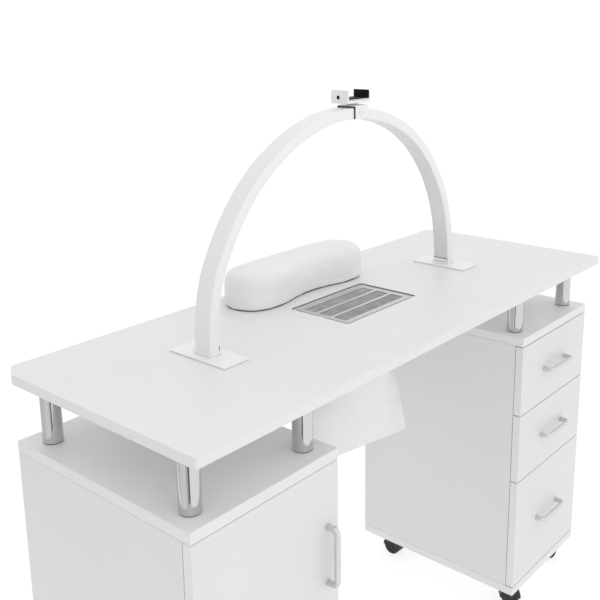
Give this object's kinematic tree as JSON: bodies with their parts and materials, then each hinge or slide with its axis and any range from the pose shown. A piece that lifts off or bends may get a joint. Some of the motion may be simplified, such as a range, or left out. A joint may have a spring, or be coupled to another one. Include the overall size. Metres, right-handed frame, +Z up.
{
  "type": "manicure table",
  "caption": "White pedestal manicure table on casters, with chrome riser posts, a door cabinet, drawers, a dust vent and bag, an arch lamp with a phone clip, and a wrist cushion.",
  "frame": {"origin": "on the floor, under the centre of the tabletop", "axes": "+X along the table to the technician's right, +Y away from the technician, +Z up"},
  "size_m": [1.2, 0.445, 1.153],
  "materials": {
    "white_board": "white melamine, satin",
    "drawer_board": "light grey-white foil, matt",
    "chrome": "polished",
    "satin_metal": "satin",
    "hinge_steel": "nickel plated",
    "vent_steel": "brushed",
    "caster_plastic": "black, satin",
    "caster_tread": "black",
    "dark_plastic": "dark grey",
    "black_rubber": "black",
    "bag_fabric": "white non-woven cloth",
    "white_paint": "white powder coat",
    "lamp_diffuser": "milky white",
    "cushion_leather": "white leatherette"
  },
  "bodies": {
    "table": {"table_top": "white_board", "riser_post_left_outer_front": "chrome", "riser_post_left_inner_front": "chrome", "riser_post_left_outer_back": "chrome", "riser_post_left_inner_back": "chrome", "riser_post_right_outer_front": "chrome", "riser_post_right_inner_front": "chrome", "riser_post_right_outer_back": "chrome", "riser_post_right_inner_back": "chrome", "cabinet_top": "white_board", "cabinet_outer_side": "white_board", "cabinet_inner_side": "white_board", "cabinet_back": "white_board", "cabinet_bottom": "white_board", "cabinet_shelf": "white_board", "hinge_arm_lower": "hinge_steel", "hinge_arm_upper": "hinge_steel", "drawer_unit_top": "white_board", "drawer_unit_outer_side": "white_board", "drawer_unit_inner_side": "white_board", "drawer_unit_back": "white_board", "drawer_unit_bottom": "white_board", "collector_housing": "dark_plastic", "dust_bag": "bag_fabric", "lamp_base_left": "white_paint", "lamp_base_right": "white_paint", "lamp_arch_left": "white_paint", "lamp_arch_right": "white_paint", "phone_bracket": "white_paint"},
    "cabinet_door": {"cabinet_door": "white_board", "door_handle": "satin_metal"},
    "vent_grille": {"vent_grille": "vent_steel"},
    "wrist_cushion": {"wrist_cushion": "cushion_leather"},
    "fan_rotor": {"fan_rotor": "dark_plastic"},
    "phone_jaw": {"phone_jaw": "white_paint"},
    "drawer_1": {"drawer_front_1": "white_board", "drawer_box_1": "drawer_board", "drawer_handle_1": "satin_metal"},
    "drawer_2": {"drawer_front_2": "white_board", "drawer_box_2": "drawer_board", "drawer_handle_2": "satin_metal"},
    "drawer_3": {"drawer_front_3": "white_board", "drawer_box_3": "drawer_board", "drawer_handle_3": "satin_metal"},
    "caster_swivel_left_inner_front": {"caster_hood_left_inner_front": "caster_plastic"},
    "caster_roller_left_inner_front": {"caster_wheels_left_inner_front": "caster_tread"},
    "caster_swivel_left_outer_front": {"caster_hood_left_outer_front": "caster_plastic"},
    "caster_roller_left_outer_front": {"caster_wheels_left_outer_front": "caster_tread"},
    "caster_swivel_left_inner_back": {"caster_hood_left_inner_back": "caster_plastic"},
    "caster_roller_left_inner_back": {"caster_wheels_left_inner_back": "caster_tread"},
    "caster_swivel_left_outer_back": {"caster_hood_left_outer_back": "caster_plastic"},
    "caster_roller_left_outer_back": {"caster_wheels_left_outer_back": "caster_tread"},
    "caster_swivel_right_inner_front": {"caster_hood_right_inner_front": "caster_plastic"},
    "caster_roller_right_inner_front": {"caster_wheels_right_inner_front": "caster_tread"},
    "caster_swivel_right_outer_front": {"caster_hood_right_outer_front": "caster_plastic"},
    "caster_roller_right_outer_front": {"caster_wheels_right_outer_front": "caster_tread"},
    "caster_swivel_right_inner_back": {"caster_hood_right_inner_back": "caster_plastic"},
    "caster_roller_right_inner_back": {"caster_wheels_right_inner_back": "caster_tread"},
    "caster_swivel_right_outer_back": {"caster_hood_right_outer_back": "caster_plastic"},
    "caster_roller_right_outer_back": {"caster_wheels_right_outer_back": "caster_tread"}
  },
  "joints": [
    {"name": "door_hinge", "type": "hinge", "parent": "table", "child": "cabinet_door", "pos_m": [-0.595, -0.1825, 0.35], "axis": [0, 0, -1], "range_deg": [0, 105]},
    {"name": "drawer_slide_1", "type": "slide", "parent": "table", "child": "drawer_1", "axis": [0, -1, 0], "range_m": [0, 0.28]},
    {"name": "drawer_slide_2", "type": "slide", "parent": "table", "child": "drawer_2", "axis": [0, -1, 0], "range_m": [0, 0.28]},
    {"name": "drawer_slide_3", "type": "slide", "parent": "table", "child": "drawer_3", "axis": [0, -1, 0], "range_m": [0, 0.28]},
    {"name": "vent_grille_lift", "type": "slide", "parent": "table", "child": "vent_grille", "axis": [0, 0, 1], "range_m": [0, 0.06]},
    {"name": "wrist_cushion_lift", "type": "slide", "parent": "table", "child": "wrist_cushion", "axis": [0, 0, 1], "range_m": [0, 0.08]},
    {"name": "fan_spin", "type": "hinge", "parent": "table", "child": "fan_rotor", "pos_m": [0.0015, 0.001, 0.699], "axis": [0, 0, 1], "continuous": true},
    {"name": "phone_jaw_slide", "type": "slide", "parent": "table", "child": "phone_jaw", "axis": [-1, 0, 0], "range_m": [0, 0.025], "stiffness_N_per_m": 300, "springref_m": -0.01},
    {"name": "swivel_left_inner_front", "type": "hinge", "parent": "table", "child": "caster_swivel_left_inner_front", "pos_m": [-0.3425, -0.155, 0.05], "axis": [0, 0, 1], "continuous": true},
    {"name": "roll_left_inner_front", "type": "hinge", "parent": "caster_swivel_left_inner_front", "child": "caster_roller_left_inner_front", "pos_m": [-0.33407, -0.16618, 0.02], "axis": [0.7986, 0.6018, 0], "continuous": true},
    {"name": "swivel_left_outer_front", "type": "hinge", "parent": "table", "child": "caster_swivel_left_outer_front", "pos_m": [-0.5505, -0.155, 0.05], "axis": [0, 0, 1], "continuous": true},
    {"name": "roll_left_outer_front", "type": "hinge", "parent": "caster_swivel_left_outer_front", "child": "caster_roller_left_outer_front", "pos_m": [-0.53651, -0.15549, 0.02], "axis": [0.0349, 0.9994, 0], "continuous": true},
    {"name": "swivel_left_inner_back", "type": "hinge", "parent": "table", "child": "caster_swivel_left_inner_back", "pos_m": [-0.3425, 0.155, 0.05], "axis": [0, 0, 1], "continuous": true},
    {"name": "roll_left_inner_back", "type": "hinge", "parent": "caster_swivel_left_inner_back", "child": "caster_roller_left_inner_back", "pos_m": [-0.34274, 0.141, 0.02], "axis": [0.9998, -0.0174, 0], "continuous": true},
    {"name": "swivel_left_outer_back", "type": "hinge", "parent": "table", "child": "caster_swivel_left_outer_back", "pos_m": [-0.5505, 0.155, 0.05], "axis": [0, 0, 1], "continuous": true},
    {"name": "roll_left_outer_back", "type": "hinge", "parent": "caster_swivel_left_outer_back", "child": "caster_roller_left_outer_back", "pos_m": [-0.54688, 0.14148, 0.02], "axis": [0.9659, 0.2588, 0], "continuous": true},
    {"name": "swivel_right_inner_front", "type": "hinge", "parent": "table", "child": "caster_swivel_right_inner_front", "pos_m": [0.3425, -0.155, 0.05], "axis": [0, 0, 1], "continuous": true},
    {"name": "roll_right_inner_front", "type": "hinge", "parent": "caster_swivel_right_inner_front", "child": "caster_roller_right_inner_front", "pos_m": [0.35093, -0.16618, 0.02], "axis": [0.7986, 0.6018, 0], "continuous": true},
    {"name": "swivel_right_outer_front", "type": "hinge", "parent": "table", "child": "caster_swivel_right_outer_front", "pos_m": [0.5505, -0.155, 0.05], "axis": [0, 0, 1], "continuous": true},
    {"name": "roll_right_outer_front", "type": "hinge", "parent": "caster_swivel_right_outer_front", "child": "caster_roller_right_outer_front", "pos_m": [0.56449, -0.15549, 0.02], "axis": [0.0349, 0.9994, 0], "continuous": true},
    {"name": "swivel_right_inner_back", "type": "hinge", "parent": "table", "child": "caster_swivel_right_inner_back", "pos_m": [0.3425, 0.155, 0.05], "axis": [0, 0, 1], "continuous": true},
    {"name": "roll_right_inner_back", "type": "hinge", "parent": "caster_swivel_right_inner_back", "child": "caster_roller_right_inner_back", "pos_m": [0.34226, 0.141, 0.02], "axis": [0.9998, -0.0174, 0], "continuous": true},
    {"name": "swivel_right_outer_back", "type": "hinge", "parent": "table", "child": "caster_swivel_right_outer_back", "pos_m": [0.5505, 0.155, 0.05], "axis": [0, 0, 1], "continuous": true},
    {"name": "roll_right_outer_back", "type": "hinge", "parent": "caster_swivel_right_outer_back", "child": "caster_roller_right_outer_back", "pos_m": [0.55412, 0.14148, 0.02], "axis": [0.9659, 0.2588, 0], "continuous": true}
  ]
}
